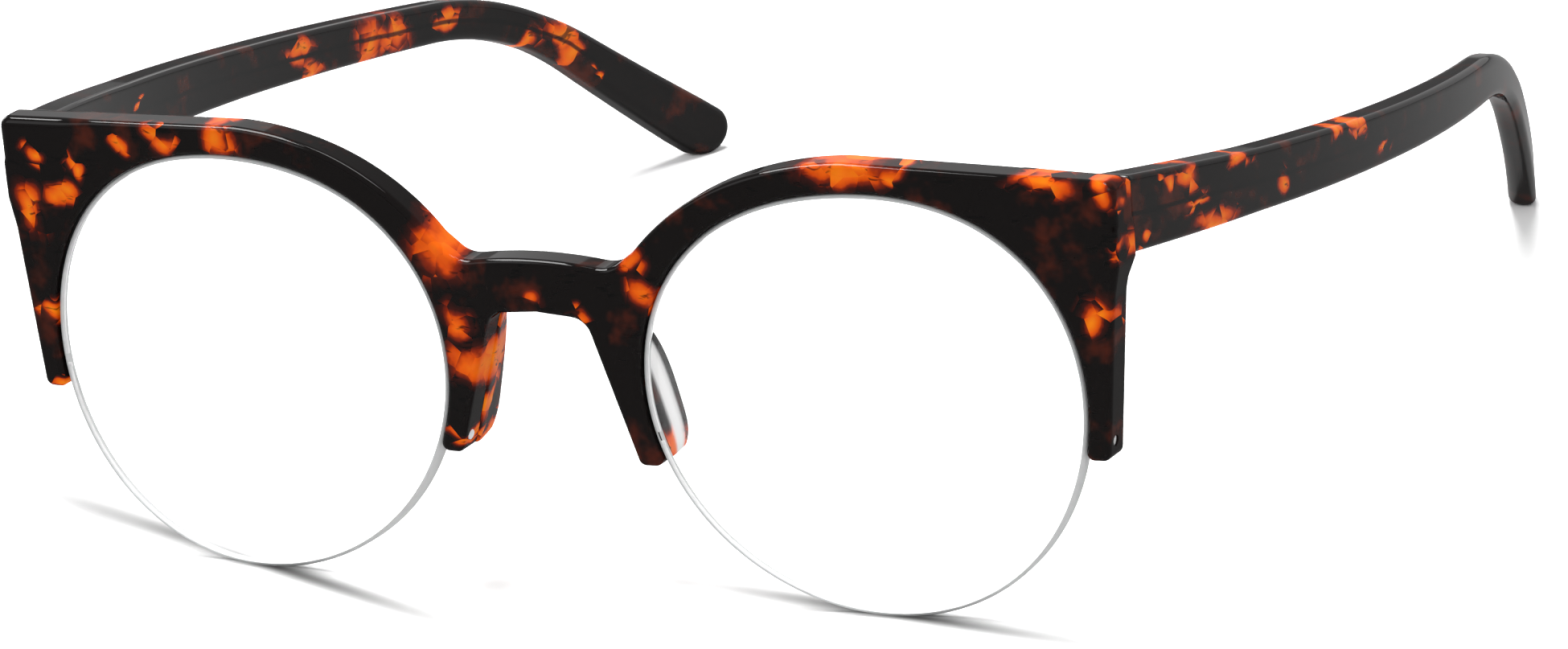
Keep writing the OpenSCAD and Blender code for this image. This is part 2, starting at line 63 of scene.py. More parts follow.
def add_node(tree, kind, settings=None, **inputs):
    """A shader node with its settings and its inputs: a socket links, anything else is its value."""
    made = tree.nodes.new(kind)
    for name, value in (settings or {}).items():
        setattr(made, name, value)
    for name, value in inputs.items():
        key = int(name[1:]) if name[0] == "i" and name[1:].isdigit() else name.replace("_", " ")
        if isinstance(value, bpy.types.NodeSocket):
            tree.links.new(value, made.inputs[key])
        else:
            made.inputs[key].default_value = value
    return made


def bare_material(name):
    """A new material and its empty node tree."""
    made = bpy.data.materials.new(name)
    made.use_nodes = True
    made.node_tree.nodes.clear()
    return made, made.node_tree


def clear_to_shadows(tree, body, tone):
    """Ends a tree with the body, which rays that look for shadow pass through with a grey tone."""
    tint = add_node(tree, "ShaderNodeBsdfTransparent", Color=(tone, tone, tone, 1))
    path = add_node(tree, "ShaderNodeLightPath")
    mix = add_node(tree, "ShaderNodeMixShader", i0=path.outputs["Is Shadow Ray"],
                   i1=body.outputs[0], i2=tint.outputs[0])
    add_node(tree, "ShaderNodeOutputMaterial", Surface=mix.outputs[0])


def seen_straight(tree):
    """1 for rays from the camera, also through a lens, as long as nothing matt scatters them, else 0."""
    path = add_node(tree, "ShaderNodeLightPath")
    straight = add_node(tree, "ShaderNodeMath", {"operation": "MAXIMUM"}, i0=path.outputs["Is Camera Ray"],
                        i1=path.outputs["Is Transmission Ray"])
    unscattered = add_node(tree, "ShaderNodeMath", {"operation": "LESS_THAN"},
                           i0=path.outputs["Diffuse Depth"], i1=0.5)
    return add_node(tree, "ShaderNodeMath", {"operation": "MULTIPLY"}, i0=straight.outputs[0],
                    i1=unscattered.outputs[0]).outputs[0]


def seen_straight_or_mirrored(tree):
    """1 for camera, transmission and glossy rays, else 0."""
    mirrored = add_node(tree, "ShaderNodeLightPath").outputs["Is Glossy Ray"]
    return add_node(tree, "ShaderNodeMath", {"operation": "MAXIMUM"}, i0=seen_straight(tree),
                    i1=mirrored).outputs[0]


daylight = bpy.data.worlds.new("daylight_box")
daylight.use_nodes = True
sky = daylight.node_tree
sky.nodes.clear()
sky_level = add_node(sky, "ShaderNodeMapRange", Value=seen_straight_or_mirrored(sky),
                     To_Min=0.24, To_Max=1.0)
sky_white = add_node(sky, "ShaderNodeBackground", Color=(1, 1, 1, 1), Strength=sky_level.outputs[0])
add_node(sky, "ShaderNodeOutputWorld", Surface=sky_white.outputs[0])
bpy.context.scene.world = daylight

sheet_half = 4.0
sheet_mesh = bpy.data.meshes.new("table_sheet")
sheet_mesh.from_pydata([(-sheet_half, -sheet_half, 0), (sheet_half, -sheet_half, 0),
                        (sheet_half, sheet_half, 0), (-sheet_half, sheet_half, 0)], [], [(0, 1, 2, 3)])
sheet = bpy.data.objects.new("table_sheet", sheet_mesh)
bpy.context.scene.collection.objects.link(sheet)
paper, tree = bare_material("white_paper")
paper_white = add_node(tree, "ShaderNodeMapRange", Value=seen_straight(tree),
                       To_Min=0.8, To_Max=1.6).outputs[0]
paper_place = add_node(tree, "ShaderNodeTexCoord").outputs["Object"]

# A soft contact shadow is painted on the paper under each lens: its place in mm, turn in degrees
# and half length in mm.
shadow_half_width = 3.8
for x, y, turn, half in ((-36.6, -69.9, -23.6, 61), (39.4, -69.9, -9.7, 45)):
    shadow_place = add_node(tree, "ShaderNodeMapping", {"vector_type": "TEXTURE"}, Vector=paper_place,
                     Location=(x / 1000, y / 1000, 0), Rotation=(0, 0, math.radians(turn)),
                     Scale=(half / 1000, shadow_half_width / 1000, 1))
    off_shadow = add_node(tree, "ShaderNodeVectorMath", {"operation": "LENGTH"}, i0=shadow_place.outputs[0])
    shade = add_node(tree, "ShaderNodeMapRange", {"interpolation_type": "SMOOTHSTEP"},
                     Value=off_shadow.outputs["Value"], To_Min=0.06, To_Max=1.0)
    paper_white = add_node(tree, "ShaderNodeMath", {"operation": "MULTIPLY"}, i0=paper_white,
                           i1=shade.outputs[0]).outputs[0]
paper_face = add_node(tree, "ShaderNodeBsdfDiffuse", Color=paper_white)
add_node(tree, "ShaderNodeOutputMaterial", Surface=paper_face.outputs[0])
sheet_mesh.materials.append(paper)


def lamp(name, place, size, power, aim=(0, 0, 0.02), gloss_only=False):
    """A panel lamp in metres and watts, facing its aim. A gloss-only one lights no matt surface."""
    light = bpy.data.lights.new(name, "AREA")
    light.shape = "RECTANGLE"
    light.size, light.size_y = size
    light.energy = power
    body = bpy.data.objects.new(name, light)
    body.location = place
    body.rotation_euler = (Vector(aim) - Vector(place)).to_track_quat("-Z", "Y").to_matrix().to_euler()
    body.visible_diffuse = not gloss_only
    bpy.context.scene.collection.objects.link(body)


lamp("overhead_softbox", (0.02, 0.02, 1.2), (0.7, 0.25), 11.0, aim=(0, 0, 0))
lamp("front_softbox", (-0.9, -1.0, 0.8), (0.7, 0.7), 4.5)
lamp("side_softbox", (1.0, -0.9, 0.8), (0.7, 0.7), 4.5)
lamp("back_panel", (-0.54, 1.01, 0.37), (0.5, 0.3), 0.75, gloss_only=True)
lamp("edge_panel", (-0.54, -0.08, 1.04), (0.6, 0.45), 34.0, gloss_only=True)
lamp("left_panel", (-1.02, 0.53, 0.34), (0.4, 0.4), 8.0, gloss_only=True)

view_az, view_el, view_roll = (math.radians(a) for a in (27.884, 17.176, -5.013))
view_aim, view_distance = np.array([27.909, 0, 8.215]), 1141.63
back = np.array([math.sin(view_az) * math.cos(view_el), -math.cos(view_az) * math.cos(view_el),
                 math.sin(view_el)])
right = np.cross(-back, [0, 0, 1])
right /= np.linalg.norm(right)
up = np.cross(right, -back)
rolled_right = math.cos(view_roll) * right + math.sin(view_roll) * up
rolled_up = math.cos(view_roll) * up - math.sin(view_roll) * right
eye = set_down(view_aim + view_distance * back)
axes = leaned([rolled_right, rolled_up, back])
camera_data = bpy.data.cameras.new("camera")
camera_data.sensor_width = 36
camera_data.lens = 252.46
camera_data.shift_x, camera_data.shift_y = 0.00115, -0.0004
camera_data.clip_start, camera_data.clip_end = 0.1, 20
camera = bpy.data.objects.new("camera", camera_data)
camera.matrix_world = Matrix([[*axes[:, row], eye[row]] for row in range(3)] + [[0, 0, 0, 1]])
bpy.context.scene.collection.objects.link(camera)
bpy.context.scene.camera = camera
bpy.context.scene.view_settings.view_transform = "Standard"

# Front: one milled and tumble-polished piece of tortoiseshell acetate, with two brows, the saddle
# bridge and four rim legs. Every edge is rounded over, and a thick block stands behind each outer
# corner, pocketed for the hinge.
wrap = math.radians(4.2)
lens_width, lens_height, bridge_gap = 49.6, 46.1, 23.3
lens_mean = (lens_width + lens_height) / 4 / (1 - 0.006)
front_half, front_deep, saddle_half = 66.1, 3.8, 6
seam_y, block_in, block_z, block_low = 7.2, 54.9, 15.9, 13.5
block_foot_y, block_top_z, block_top_fall, block_blend = 5.568, 23.9, 1.3, 0.6
groove_y, rim_gap = 1.55, 0.05
hinge_x, hinge_y = 60.091, 7.275
barrel_low, barrel_high, barrel_reach = 16.88, 23.62, 1.55
leaf_low, leaf_high = (hinge_x - 4.6, 6.4, 17.13), (hinge_x, 8.5, 22.87)


def lens_radius(angle):
    """Lens outline: R (1 + c cos 2a - .007 sin 2a - .011 cos 3a + .016 sin 3a - .006 cos 4a)."""
    wide = (lens_width - lens_height) / lens_mean / 4
    return lens_mean * (1 + wide * np.cos(2 * angle) - 0.007 * np.sin(2 * angle)
                        - 0.011 * np.cos(3 * angle) + 0.016 * np.sin(3 * angle)
                        - 0.006 * np.cos(4 * angle))


lens_x = bridge_gap / 2 + float(lens_radius(np.pi))


def lens_curve(start, stop, step, grow=0.0):
    """Points r(a) + grow along the lens outline, from one angle in degrees to another."""
    angle = np.radians(np.linspace(start, stop, int(abs(stop - start) / step) + 2))
    reach = lens_radius(angle) + np.asarray(grow)
    return np.stack([reach * np.cos(angle), reach * np.sin(angle)], -1)


def lens_angle(z, low, high):
    """Angle in degrees at which the outline passes a height, between two angles."""
    angle = np.linspace(low, high, 4000)
    height = lens_radius(np.radians(angle)) * np.sin(np.radians(angle))
    return float(angle[np.argmin(np.abs(height - z))])


def eased(before, corner, after, radius, steps=7):
    """A corner rounded by an arc: its centre lies radius / sin(half angle) along the bisector."""
    before, corner, after = (np.asarray(p, float) for p in (before, corner, after))
    a = (before - corner) / np.linalg.norm(before - corner)
    b = (after - corner) / np.linalg.norm(after - corner)
    half = math.acos(float(a @ b)) / 2
    centre = corner + (a + b) / np.linalg.norm(a + b) * radius / math.sin(half)
    first, last = (corner + d * radius / math.tan(half) - centre for d in (a, b))
    start = math.atan2(first[1], first[0])
    turn = (math.atan2(last[1], last[0]) - start + 3 * math.pi) % (2 * math.pi) - math.pi
    angle = start + turn * np.linspace(0, 1, steps)
    return centre + radius * np.stack([np.cos(angle), np.sin(angle)], -1)


def filled_in(points, step):
    """A closed outline with further points on every edge that is longer than the step."""
    following = np.roll(points, -1, 0)
    count = np.ceil(np.linalg.norm(following - points, axis=1) / step).astype(int).clip(1)
    edge = np.repeat(np.arange(len(points)), count)
    part = (np.arange(count.sum()) - np.repeat(count.cumsum() - count, count)) / count[edge]
    return points[edge] + (following - points)[edge] * part[:, None]


def inward(ring):
    """Unit normals into an anticlockwise outline: the mean of both edges, turned left."""
    edge = np.roll(ring, -1, 0) - ring
    edge /= np.linalg.norm(edge, axis=1)[:, None]
    along = edge + np.roll(edge, 1, 0)
    along /= np.linalg.norm(along, axis=1)[:, None]
    return np.stack([-along[:, 1], along[:, 0]], -1)


def inside(points, ring):
    """Even-odd rule: a point is inside where a line to its right crosses the ring an odd number of
    times.
    """
    a, b = ring, np.roll(ring, -1, 0)
    level = points[:, 1:2]
    crosses = (a[:, 1] > level) != (b[:, 1] > level)
    rise = np.where(b[:, 1] == a[:, 1], 1, b[:, 1] - a[:, 1])
    at = a[:, 0] + (level - a[:, 1]) * (b[:, 0] - a[:, 0]) / rise
    return (crosses & (points[:, :1] < at)).sum(1) % 2 == 1


def net(ring, points):
    """Triangles between an outline's points and the points inside it."""
    n = len(ring)
    places = [Vector(p) for p in np.concatenate([ring, points])]
    found = delaunay_2d_cdt(places, [(k, (k + 1) % n) for k in range(n)], [], 1, 1e-6)
    source = [ids[0] for ids in found[3]]
    return [[source[k] for k in face] for face in found[2]]


plate_margin = 1.15


def polished_plate(ring, radius, near, far, points, arc=6):
    """Closed skin of a plate with rounded edges.

    Each ring is the outline moved inwards by r (1 - sin t), at a depth of r (1 - cos t) under the
    near or the far face, with t from 0 to 90 degrees. One more ring lies before and one after the
    rounding, a margin times r away. The faces are nets over the given points.
    """
    radius = np.broadcast_to(np.asarray(radius, float), len(ring))[:, None]
    normal = inward(ring)
    t = np.radians(np.linspace(0, 90, arc))
    moved = np.concatenate([[plate_margin], 1 - np.sin(t), [0]])
    deep = np.concatenate([[0], 1 - np.cos(t), [plate_margin]])
    rings = [ring + normal * radius * m for m in moved]
    kept = points[inside(points, ring + normal * (radius * plate_margin + 0.25))]
    n, rows = len(ring), 2 * len(moved)
    flat = np.concatenate(rings + rings[::-1] + [kept, kept])
    depth = np.concatenate([near(p) + radius[:, 0] * d for p, d in zip(rings, deep)]
                           + [far(p) - radius[:, 0] * d for p, d in zip(rings[::-1], deep[::-1])]
                           + [near(kept), far(kept)])
    a = np.arange(n)
    b = (a + 1) % n
    faces = [np.stack([a + r * n, a + r * n + n, b + r * n + n, b + r * n], -1) for r in range(rows - 1)]
    faces = np.concatenate(faces).tolist()
    cap = net(rings[0], kept)
    last, inner = (rows - 1) * n, rows * n
    faces += [[k if k < n else inner + k - n for k in f] for f in cap]
    faces += [[last + k if k < n else inner + len(kept) + k - n for k in reversed(f)] for f in cap]
    return flat, depth, faces


def wound(faces, side):
    """The faces, wound the other way round where the piece is mirrored."""
    return faces if side > 0 else [f[::-1] for f in faces]


def piece(name, points, faces, material):
    """A smooth-shaded object from points in metres, with its material."""
    mesh = bpy.data.meshes.new(name)
    mesh.from_pydata(np.asarray(points).tolist(), [], faces)
    mesh.polygons.foreach_set("use_smooth", [True] * len(mesh.polygons))
    mesh.materials.append(material)
    made = bpy.data.objects.new(name, mesh)
    bpy.context.scene.collection.objects.link(made)
    return made


def milled_out(body, cutter_points, cutter_faces):
    """The body with a closed cutter taken out of it, and hard edges kept sharp."""
    mesh = bpy.data.meshes.new("cutter")
    mesh.from_pydata(np.asarray(cutter_points).tolist(), [], cutter_faces)
    cutter = bpy.data.objects.new("cutter", mesh)
    bpy.context.scene.collection.objects.link(cutter)
    cut = body.modifiers.new("pocket", "BOOLEAN")
    cut.operation, cut.solver, cut.object, cut.use_self = "DIFFERENCE", "EXACT", cutter, True
    graph = bpy.context.evaluated_depsgraph_get()
    result = bpy.data.meshes.new_from_object(body.evaluated_get(graph))
    result.name = body.name
    body.modifiers.clear()
    body.data = result
    bpy.data.objects.remove(cutter)
    result.set_sharp_from_angle(angle=math.radians(38))


def drum(x, y, low, high, radius, sides=32):
    """Points and faces of an upright cylinder."""
    angle = np.linspace(0, 2 * np.pi, sides, endpoint=False)
    ring = np.stack([x + radius * np.cos(angle), y + radius * np.sin(angle)], -1)
    points = np.concatenate([np.c_[ring, np.full(sides, low)], np.c_[ring, np.full(sides, high)]])
    a = np.arange(sides)
    b = (a + 1) % sides
    return points, (np.stack([a, b, b + sides, a + sides], -1).tolist()
                    + [a[::-1].tolist(), (a + sides).tolist()])


def crate(low, high):
    """Points and faces of a box."""
    x, y, z = (np.array([low[k], high[k]]) for k in range(3))
    points = np.array([(x[i], y[j], z[k]) for k in (0, 1) for j in (0, 1) for i in (0, 1)])
    return points, [[0, 2, 3, 1], [4, 5, 7, 6], [0, 1, 5, 4], [1, 3, 7, 5], [3, 2, 6, 7], [2, 0, 4, 6]]


def together(*shells):
    """Several closed shells as one list of points and faces."""
    points, faces, start = [], [], 0
    for p, f in shells:
        points.append(p)
        faces += [[k + start for k in face] for face in f]
        start += len(p)
    return np.concatenate(points), faces


plan_radius = saddle_half / math.sin(wrap)
plan_centre = (saddle_half - lens_x) * math.tan(wrap) + plan_radius * math.cos(wrap)


def on_wing(x, y, z):
    """From a wing's own frame at its lens centre to the upright front, turned by the wrap."""
    return np.stack([lens_x + x * math.cos(wrap) - y * math.sin(wrap),
                     x * math.sin(wrap) + y * math.cos(wrap), z], -1)


def front_plane(p, depth=0.0):
    """Depth of the front: tan w (|x| - c) + d / cos w on the wings, an arc about the middle between."""
    x = np.abs(p[:, 0])
    wing = (x - lens_x) * math.tan(wrap) + depth / math.cos(wrap)
    reach = plan_radius - depth
    arc = plan_centre - np.sqrt(np.maximum(reach ** 2 - x ** 2, 0))
    return np.where(x < reach * math.sin(wrap), arc, wing)


def front_back(p):
    """Back of the front: the plate's back plane, raised to the seam over each hinge block."""
    plain = front_plane(p, front_deep)
    slope = block_foot_y + (p[:, 1] - block_low) * (seam_y - block_foot_y) / (block_z - block_low)
    top = seam_y - (p[:, 1] - block_top_z).clip(0, 9) * block_top_fall
    block = np.maximum(plain, np.minimum(slope, np.minimum(top, seam_y)))
    ramp = ((np.abs(p[:, 0]) - block_in + block_blend / 2) / block_blend).clip(0, 1)
    return plain + (block - plain) * ramp * ramp * (3 - 2 * ramp)


def brow_point(angle):
    """Top edge of the brow: the lens outline grown by 3.4 + ((a - 90) / 60) cubed."""
    grow = 3.4 + ((angle - 90) / 60) ** 3
    return lens_curve(angle, angle, 1, grow)[0] + [lens_x, 0]


brow_line = np.array([brow_point(a) for a in np.arange(150, 90, -2.0)])
saddle_top, saddle_side, saddle_under = (0, 14.75), (8.6, 13.4), (0, 8.4)
outer_corner, side_break, leg_top = (front_half, 24.9), (65.938, block_z), (65.209, 12.54)
outer_foot, inner_foot, leg_root = (63.4, -5.2), (10.6, -8.0), (5.7, 7.9)
outer_toe = lens_angle(outer_foot[1], -40, 20)
inner_toe = lens_angle(inner_foot[1], 170, 220)
foot_out = lens_curve(outer_toe, outer_toe, 1, rim_gap)[0] + [lens_x, 0]
foot_in = lens_curve(inner_toe, inner_toe, 1, rim_gap)[0] + [lens_x, 0]
lens_side = lens_curve(outer_toe + 2, inner_toe - 2, 1.5, rim_gap) + [lens_x, 0]
half_ring = np.concatenate([
    eased((-saddle_side[0], saddle_side[1]), saddle_top, saddle_side, 44, 17)[8:],
    eased(saddle_top, saddle_side, brow_line[0], 4),
    brow_line[1:],
    eased(brow_line[-1], outer_corner, side_break, 1.25, 11),
    eased(outer_corner, side_break, leg_top, 4),
    eased(side_break, leg_top, outer_foot, 4),
    eased(leg_top, outer_foot, foot_out, 0.9, 9),
    eased(outer_foot, foot_out, lens_side[0], 0.85, 9),
    lens_side[1:-1],
    eased(lens_side[-1], foot_in, inner_foot, 0.85, 9),
    eased(foot_in, inner_foot, leg_root, 0.9, 9),
    eased(inner_foot, leg_root, saddle_under, 2.4),
    [saddle_under]])
mirrored = half_ring[-2:0:-1] * [-1, 1]
front_ring = filled_in(np.concatenate([half_ring, mirrored])[::-1], 0.45)

# The edges are rounded by 0.6 mm, and the top of the outer corners by up to 0.95 mm. The faces have
# a lattice of points, finer over the hinge blocks.
front_edge = 0.6 + 0.35 * ((np.abs(front_ring[:, 0]) - 54) / 4).clip(0, 1) * (front_ring[:, 1] > 20)
lattice = np.stack(np.meshgrid(np.arange(-66, 66.1, 1.1), np.arange(-8, 28, 1.1)), -1).reshape(-1, 2)
behind = np.stack(np.meshgrid(np.concatenate([np.arange(54.55, 55.3, 0.12), np.arange(55.6, 66, 0.5)]),
                              np.arange(13, 27, 0.4)), -1).reshape(-1, 2)
lattice = lattice[(np.abs(lattice[:, 0]) < 54.2) | (lattice[:, 1] < 12.6)]
front_points = np.concatenate([lattice, behind, behind * [-1, 1]])


def acetate(name, patches, across, gloss, wired=False, painted_reflection=False):
    """Polished tortoiseshell acetate.

    Each patch is an ellipse: its centre on the front or the temple in mm, its two radii in mm, its
    tilt in degrees. The place is first pushed about by noise and by cells, so that edges come out
    jagged. The least distance, 1 on a patch's edge, then sets the colour, from amber at the heart
    through red-brown to near-black. The gloss is the weight of the clear coat. A wired piece is
    darkened along its core wire by its attribute off_wire, the distance from the wire in mm. On a
    piece with a painted reflection, the point attribute named as the argument turns one side pale
    grey, a painted reflection of the white surroundings.
    """
    made, tree = bare_material(name)
    place = add_node(tree, "ShaderNodeTexCoord").outputs["Object"]
    soft = add_node(tree, "ShaderNodeTexNoise", Vector=place, Scale=230.0, Detail=1.5, Roughness=0.5)
    cell = add_node(tree, "ShaderNodeTexVoronoi", Vector=place, Scale=420.0, Randomness=1.0)
    push = add_node(tree, "ShaderNodeMix", {"data_type": "RGBA"}, i0=0.35,
                    i6=soft.outputs["Color"], i7=cell.outputs["Color"])
    centred = add_node(tree, "ShaderNodeVectorMath", {"operation": "SUBTRACT"},
                       i0=push.outputs[2], i1=(0.5, 0.5, 0.5))
    scaled = add_node(tree, "ShaderNodeVectorMath", {"operation": "MULTIPLY"},
                      i0=centred.outputs[0], i1=(0.0042, 0.0042, 0.0042))
    warped = add_node(tree, "ShaderNodeVectorMath", {"operation": "ADD"}, i0=place, i1=scaled.outputs[0])
    nearest = None
    for u, v, wide, high, tilt in patches:
        if across == "front":
            centre = set_down([(u, 2.5, v)])[0]
            radii, turn = (wide / 1000, 0.008, high / 1000), (0, -math.radians(tilt), 0)
        else:
            centre = set_down([(0, u, v)])[0]
            centre[0] = 0
            radii, turn = (0.5, wide / 1000, high / 1000), (math.radians(tilt), 0, 0)
        local = add_node(tree, "ShaderNodeMapping", {"vector_type": "TEXTURE"}, Vector=warped.outputs[0],
                         Location=tuple(centre), Rotation=turn, Scale=radii)
        reach = add_node(tree, "ShaderNodeVectorMath", {"operation": "LENGTH"}, i0=local.outputs[0])
        if nearest is None:
            nearest = reach.outputs["Value"]
        else:
            nearest = add_node(tree, "ShaderNodeMath", {"operation": "MINIMUM"},
                               i0=nearest, i1=reach.outputs["Value"]).outputs[0]
    grain = add_node(tree, "ShaderNodeTexNoise", Vector=place, Scale=700.0, Detail=2.0)
    uneven = add_node(tree, "ShaderNodeMapRange", Value=grain.outputs["Fac"], To_Min=-0.22, To_Max=0.22)
    shifted = add_node(tree, "ShaderNodeMath", {"operation": "ADD"}, i0=nearest, i1=uneven.outputs[0])
    ramp = add_node(tree, "ShaderNodeValToRGB", Fac=add_node(
        tree, "ShaderNodeMath", {"operation": "MULTIPLY"}, i0=shifted.outputs[0], i1=0.5).outputs[0])
    stops = [(0.0, (1.0, 0.26, 0.004)), (0.32, (0.90, 0.125, 0.002)), (0.44, (0.68, 0.065, 0.001)),
             (0.50, (0.28, 0.020, 0.002)), (0.61, (0.040, 0.005, 0.003)), (0.80, (0.0038, 0.0024, 0.0022))]
    while len(ramp.color_ramp.elements) < len(stops):
        ramp.color_ramp.elements.new(0.5)
    for element, (at, colour) in zip(ramp.color_ramp.elements, stops):
        element.position = at
        element.color = (*colour, 1)
    streak_place = add_node(tree, "ShaderNodeMapping", Vector=warped.outputs[0],
                            Rotation=(0.3, 0.35, 0), Scale=(300.0, 300.0, 1400.0))
    streaks = add_node(tree, "ShaderNodeTexNoise", Vector=streak_place.outputs[0], Scale=1.0, Detail=2.0)
    streak_line = add_node(tree, "ShaderNodeMapRange", {"interpolation_type": "SMOOTHSTEP"},
                           Value=streaks.outputs["Fac"], From_Min=0.30, From_Max=0.38,
                           To_Min=0.2, To_Max=1.0)
    veined = add_node(tree, "ShaderNodeMix", {"data_type": "RGBA", "blend_type": "MULTIPLY"}, i0=1.0,
                      i6=ramp.outputs[0], i7=streak_line.outputs[0])
    cloud = add_node(tree, "ShaderNodeTexNoise", Vector=place, Scale=170.0, Detail=3.0, Roughness=0.6)
    cloud_level = add_node(tree, "ShaderNodeMapRange", {"interpolation_type": "SMOOTHSTEP"},
                           Value=cloud.outputs["Fac"], From_Min=0.53, From_Max=0.72)
    clouds = add_node(tree, "ShaderNodeMix", {"data_type": "RGBA"}, i0=cloud_level.outputs[0],
                      i6=(0, 0, 0, 1), i7=(0.062, 0.008, 0.002, 1))
    veined = add_node(tree, "ShaderNodeMix", {"data_type": "RGBA", "blend_type": "ADD"}, i0=1.0,
                      i6=veined.outputs[2], i7=clouds.outputs[2])
    if wired:
        off_wire = add_node(tree, "ShaderNodeAttribute", {"attribute_name": "off_wire"}).outputs["Fac"]
        waver = add_node(tree, "ShaderNodeMath", {"operation": "MULTIPLY_ADD"}, i0=soft.outputs["Fac"],
                         i1=0.5, i2=off_wire)
        away = add_node(tree, "ShaderNodeMath", {"operation": "ABSOLUTE"}, i0=add_node(
            tree, "ShaderNodeMath", {"operation": "SUBTRACT"}, i0=waver.outputs[0], i1=0.25).outputs[0])
        wire_shade = add_node(tree, "ShaderNodeMapRange", {"interpolation_type": "SMOOTHSTEP"},
                              Value=away.outputs[0], From_Min=0.14, From_Max=0.36, To_Min=0.12, To_Max=1.0)
        veined = add_node(tree, "ShaderNodeMix", {"data_type": "RGBA", "blend_type": "MULTIPLY"}, i0=1.0,
                          i6=veined.outputs[2], i7=wire_shade.outputs[0])
    # Painted reflection: a pale grey stands in for the white surroundings mirrored on one side.
    if painted_reflection:
        shown = add_node(tree, "ShaderNodeAttribute", {"attribute_name": "painted_reflection"}).outputs["Fac"]
        veined = add_node(tree, "ShaderNodeMix", {"data_type": "RGBA"}, i0=shown,
                          i6=veined.outputs[2], i7=(0.86, 0.86, 0.86, 1))
    shader = add_node(tree, "ShaderNodeBsdfPrincipled", Base_Color=veined.outputs[2], Roughness=0.5,
                      Specular_IOR_Level=0.0, Coat_Weight=gloss, Coat_Roughness=0.035, Coat_IOR=1.5)
    add_node(tree, "ShaderNodeOutputMaterial", Surface=shader.outputs[0])
    return made


front_patches = [
    (-62, 21.5, 1.0, 0.9, 0), (-63.2, 15, 1.6, 2.4, 20), (-58.8, 17.2, 1.9, 1.1, -10),
    (-57, 20.2, 0.9, 1.1, 0), (-50.2, 23.2, 1.0, 1.2, 0), (-45, 24.2, 1.6, 1.1, 0),
    (-37.8, 24.6, 1.6, 2.2, 0), (-62, 3.5, 0.8, 0.9, 0), (-61.5, -4.7, 1.7, 0.6, 0),
    (-11.6, 14.1, 2.4, 3.4, 30), (-9.6, 6.6, 2.0, 1.5, 0), (-8.2, 1.9, 3.0, 2.2, 0),
    (-10.6, -6, 2.0, 0.6, 0), (-0.2, 10.8, 1.2, 0.9, 0), (4.9, 8.7, 1.0, 0.7, 0),
    (11.8, 14.6, 1.6, 0.9, 30), (12.6, 11, 1.5, 1.9, 20), (36.3, 25.4, 4.9, 1.8, 0),
    (42, 25.6, 1.6, 1.0, 0), (58.2, 24.8, 2.8, 1.0, 0), (64.8, 24.1, 1.2, 1.2, 0),
    (63.0, 10.6, 1.4, 1.5, 0), (66.5, 22.6, 0.4, 0.5, 0), (66.2, 17.4, 0.8, 1.1, 0)]
front_acetate = acetate("tortoiseshell_front", front_patches, "front", 0.19)


def cord_head_pocket(angle, leg_width):
    """A drum along a lens radius, sunk 0.4 mm into the outside of a leg, for the head of the cord."""
    points, faces = drum(0, 0, leg_width - 0.4, leg_width + 2, 0.6, 20)
    c, s = math.cos(math.radians(angle)), math.sin(math.radians(angle))
    reach = float(lens_radius(math.radians(angle))) + points[:, 2]
    return on_wing(points[:, 0] * s + reach * c, points[:, 1] + groove_y,
                   reach * s - points[:, 0] * c), faces


flat, depth, faces = polished_plate(front_ring, front_edge, front_plane, front_back, front_points)
front_piece = piece("acetate_front", set_down(np.stack([flat[:, 0], depth, flat[:, 1]], -1)),
                    faces, front_acetate)
for side in (1, -1):
    points, faces = together(drum(hinge_x, hinge_y, barrel_low, barrel_high, barrel_reach),
                             crate(leaf_low, leaf_high),
                             cord_head_pocket(193.374, 2.728), cord_head_pocket(-6.812, 2.631))
    milled_out(front_piece, set_down(points * [side, 1, 1]), wound(faces, side))
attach(front_piece, "front")
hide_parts("front_frame")

# Temples: two bars sawn from tortoiseshell sheet, bowed over the head and bent down over the ear,
# each with a steel wire inside. Their edges are rounded, most of all on the tail. The left one is
# set a little inwards and the right one a little outwards.
temple_slope, ear_bend, straight, ear_radius = math.radians(7.9), math.radians(31), 92.8, 50.0
ear_length, tail_length, tip_radius = ear_radius * ear_bend, 25.5, 2.95
temple_length = straight + ear_length + tail_length
temple_y, temple_z, upright_length = 7.35, 20, 12
height_places, heights = [0, 24.1, 55.7, 92.8, 111.7, 139.4], [8.3, 6.74, 5.7, 4.8, 4.416, 5.9]
bow_middle, bow_radius, temple_thick, inner_forward = (-143.5, 58.0), 215.0, 3.65, 1.2
toe_in, wire_steps, wire_part = math.radians(1.2), 600, 0.84


def temple_turn(s):
    """Direction of the temple's middle line: the slope, then the ear bend at an even rate."""
    return -temple_slope - ear_bend * ((s - straight) / ear_length).clip(0, 1)


def temple_line(s):
    """Middle line in y and z: a straight, an arc of the ear radius, and a straight."""
    d, e = -temple_slope, temple_turn(s)
    first = np.minimum(s, straight)
    rest = np.maximum(s - straight - ear_length, 0)
    y = temple_y + first * math.cos(d) + ear_radius * (math.sin(d) - np.sin(e)) + rest * np.cos(e)
    z = temple_z + first * math.sin(d) + ear_radius * (np.cos(e) - math.cos(d)) + rest * np.sin(e)
    return np.stack([y, z], -1)


def temple_edge(s, sense):
    """Upper or lower edge: half the height, across the middle line; at the seam it ends upright."""
    height = np.interp(s, height_places, heights) / 2
    upright = (1 - s / upright_length).clip(0, 1) ** 2
    along = s - sense * height * math.tan(temple_slope) * upright
    e = temple_turn(s)
    return temple_line(along) + sense * height[:, None] * np.stack([-np.sin(e), np.cos(e)], -1)


